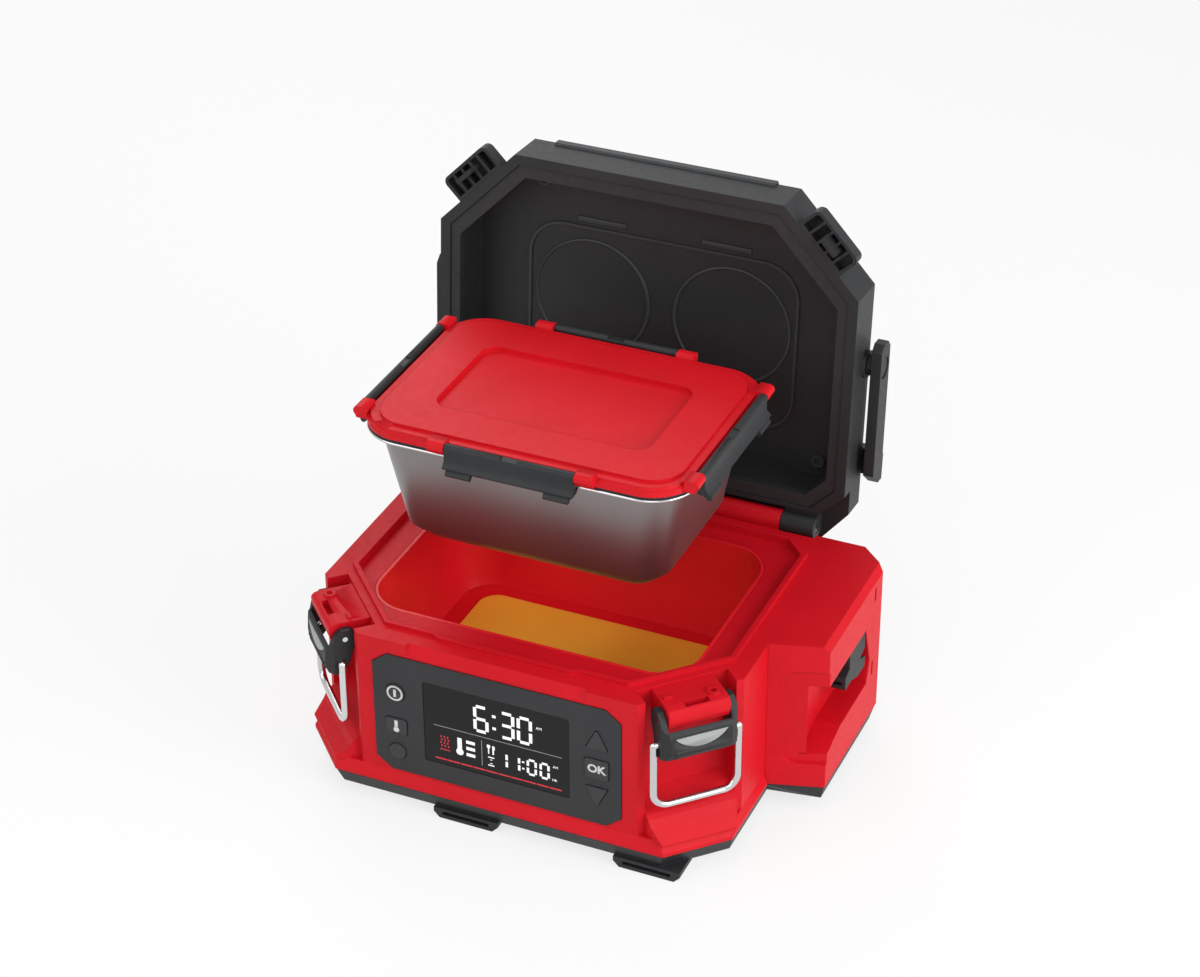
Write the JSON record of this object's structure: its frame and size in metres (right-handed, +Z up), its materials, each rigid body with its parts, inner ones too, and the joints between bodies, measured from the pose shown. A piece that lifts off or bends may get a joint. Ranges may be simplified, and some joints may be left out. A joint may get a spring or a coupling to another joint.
{
  "type": "electric lunch box",
  "caption": "Battery-powered food warmer: heated base with control panel, hinged lid with carry handle and corner latches, and a lift-out steel food container with a clipped lid.",
  "frame": {"origin": "bottom centre of the whole part as it stands with its lid open, on the plane of the feet", "axes": "+X along the front wall to the battery dock, +Y from the front wall to the hinge, +Z up"},
  "size_m": [0.2936, 0.2398, 0.3039],
  "materials": {
    "red_plastic": "moulded, satin",
    "black_plastic": "moulded, fine grain",
    "grey_plastic": "moulded, smooth",
    "pale_plastic": "moulded, smooth",
    "panel_plastic": "satin",
    "button_plastic": "satin",
    "display_glass": "smoked, polished",
    "display_frame": "moulded",
    "circuit_board": "lacquered",
    "bright_steel": "polished",
    "container_steel": "brushed",
    "sheet_steel": "plain",
    "plate_aluminium": "coated, golden",
    "heater_mica": "sheet",
    "insulation": "felt",
    "black_rubber": "matt"
  },
  "bodies": {
    "base": {"body_shell": "red_plastic", "base_tray": "black_plastic", "battery_housing": "red_plastic", "terminal_block": "black_plastic", "chamber_liner": "red_plastic", "heating_plate": "plate_aluminium", "heater_element": "heater_mica", "insulation_pad": "insulation", "heater_pan": "sheet_steel", "thermostat": "sheet_steel", "power_board": "circuit_board", "control_panel": "panel_plastic", "display_window": "display_glass", "display_module": "display_frame", "control_board": "circuit_board", "right_keeper": "red_plastic", "left_keeper": "red_plastic", "right_latch_pin": "bright_steel", "left_latch_pin": "bright_steel", "hinge_rod": "bright_steel", "base_screws": "bright_steel"},
    "lid": {"lid_shell": "black_plastic", "lid_seal": "black_rubber", "lid_front_cap": "grey_plastic", "right_catch": "black_plastic", "left_catch": "black_plastic", "handle_pins": "bright_steel"},
    "handle": {"carry_handle": "black_plastic"},
    "container": {"food_container": "container_steel", "container_seal": "black_rubber", "container_lid": "red_plastic", "clip_pins": "bright_steel"},
    "front_clip_body": {"front_clip": "black_plastic"},
    "rear_clip_body": {"rear_clip": "black_plastic"},
    "right_clip_body": {"right_clip": "black_plastic"},
    "left_clip_body": {"left_clip": "black_plastic"},
    "right_lever_body": {"right_lever": "black_plastic", "right_grip": "pale_plastic"},
    "left_lever_body": {"left_lever": "black_plastic", "left_grip": "pale_plastic"},
    "right_bail_body": {"right_bail": "bright_steel"},
    "left_bail_body": {"left_bail": "bright_steel"},
    "power_button_body": {"power_button": "button_plastic"},
    "temperature_button_body": {"temperature_button": "button_plastic"},
    "mode_button_body": {"mode_button": "button_plastic"},
    "up_button_body": {"up_button": "button_plastic"},
    "ok_button_body": {"ok_button": "button_plastic"},
    "down_button_body": {"down_button": "button_plastic"}
  },
  "joints": [
    {"name": "lid_hinge", "type": "hinge", "parent": "base", "child": "lid", "pos_m": [-0.01025, 0.07548, 0.1127], "axis": [-1, 0, 0], "range_deg": [-94.4, 0]},
    {"name": "container_lift", "type": "slide", "parent": "base", "child": "container", "axis": [0, 0, 1], "range_m": [-0.0997, 0]},
    {"name": "right_lever_hinge", "type": "hinge", "parent": "base", "child": "right_lever_body", "pos_m": [0.09633, -0.09724, 0.101], "axis": [-0.6947, -0.7193, 0], "range_deg": [0, 50]},
    {"name": "left_lever_hinge", "type": "hinge", "parent": "base", "child": "left_lever_body", "pos_m": [-0.11683, -0.09724, 0.101], "axis": [-0.6947, 0.7193, 0], "range_deg": [0, 50]},
    {"name": "right_bail_hinge", "type": "hinge", "parent": "right_lever_body", "child": "right_bail_body", "pos_m": [0.09849, -0.09932, 0.0865], "axis": [-0.6947, -0.7193, 0], "range_deg": [-4, 80]},
    {"name": "left_bail_hinge", "type": "hinge", "parent": "left_lever_body", "child": "left_bail_body", "pos_m": [-0.11898, -0.09932, 0.0865], "axis": [-0.6947, 0.7193, 0], "range_deg": [-4, 80]},
    {"name": "handle_hinge", "type": "hinge", "parent": "lid", "child": "handle", "pos_m": [-0.01025, 0.10466, 0.20774], "axis": [1, 0, 0], "range_deg": [0, 90]},
    {"name": "front_clip_hinge", "type": "hinge", "parent": "container", "child": "front_clip_body", "pos_m": [-0.01175, -0.08877, 0.2221], "axis": [-1, 0, 0], "range_deg": [0, 110]},
    {"name": "rear_clip_hinge", "type": "hinge", "parent": "container", "child": "rear_clip_body", "pos_m": [-0.01175, 0.05033, 0.2221], "axis": [1, 0, 0], "range_deg": [0, 110]},
    {"name": "right_clip_hinge", "type": "hinge", "parent": "container", "child": "right_clip_body", "pos_m": [0.08455, -0.01922, 0.2221], "axis": [0, -1, 0], "range_deg": [0, 110]},
    {"name": "left_clip_hinge", "type": "hinge", "parent": "container", "child": "left_clip_body", "pos_m": [-0.10805, -0.01922, 0.2221], "axis": [0, 1, 0], "range_deg": [0, 110]},
    {"name": "power_press", "type": "slide", "parent": "base", "child": "power_button_body", "axis": [0, 1, 0], "range_m": [0, 0.0012], "stiffness_N_per_m": 500},
    {"name": "temperature_press", "type": "slide", "parent": "base", "child": "temperature_button_body", "axis": [0, 1, 0], "range_m": [0, 0.0012], "stiffness_N_per_m": 500},
    {"name": "mode_press", "type": "slide", "parent": "base", "child": "mode_button_body", "axis": [0, 1, 0], "range_m": [0, 0.0012], "stiffness_N_per_m": 500},
    {"name": "up_press", "type": "slide", "parent": "base", "child": "up_button_body", "axis": [0, 1, 0], "range_m": [0, 0.0012], "stiffness_N_per_m": 500},
    {"name": "ok_press", "type": "slide", "parent": "base", "child": "ok_button_body", "axis": [0, 1, 0], "range_m": [0, 0.0012], "stiffness_N_per_m": 500},
    {"name": "down_press", "type": "slide", "parent": "base", "child": "down_button_body", "axis": [0, 1, 0], "range_m": [0, 0.0012], "stiffness_N_per_m": 500}
  ],
  "couplings": [
    {"joint": "container_lift", "follows": "lid_hinge", "m_per_rad": 0.0605}
  ]
}
